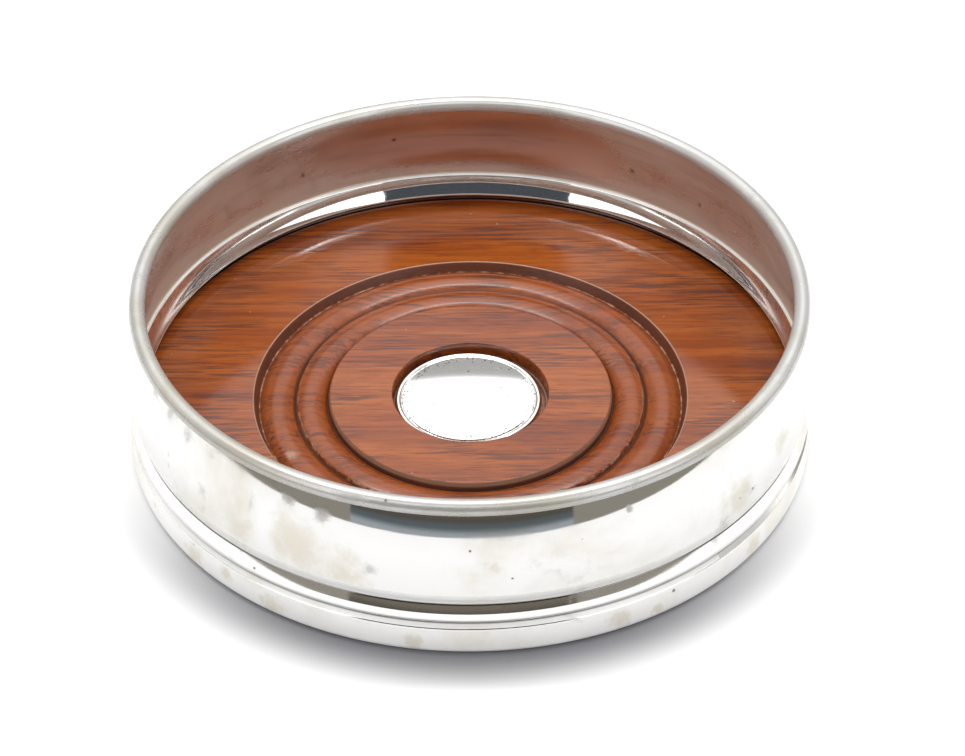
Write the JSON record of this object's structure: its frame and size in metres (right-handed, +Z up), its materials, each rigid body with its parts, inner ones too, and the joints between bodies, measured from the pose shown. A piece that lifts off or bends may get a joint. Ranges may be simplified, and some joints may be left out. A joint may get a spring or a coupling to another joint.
{
  "type": "wine bottle coaster",
  "caption": "Round wine bottle coaster: a bellied silver gallery with a wire rim and a moulded foot around a turned wooden base with a silver boss and a cloth underside.",
  "frame": {"origin": "middle of the cloth underside, on the table", "axes": "+Z up along the axis of the rings; X and Y lie in the table, with the wood grain along X"},
  "size_m": [0.1282, 0.1282, 0.033],
  "materials": {
    "silver": "polished silver, worn and lightly tarnished",
    "wood": "glossy varnished red-brown hardwood",
    "brass": "plain brass",
    "baize": "green wool baize"
  },
  "bodies": {
    "root": {"gallery_wall": "silver", "rim_wire": "silver", "foot_bead": "silver", "foot_band": "silver", "base_pins": "brass", "wooden_base": "wood", "boss_disc": "silver", "boss_rim_wire": "silver", "boss_stem": "silver", "stem_washer": "brass", "baize_pad": "baize"}
  },
  "joints": []
}
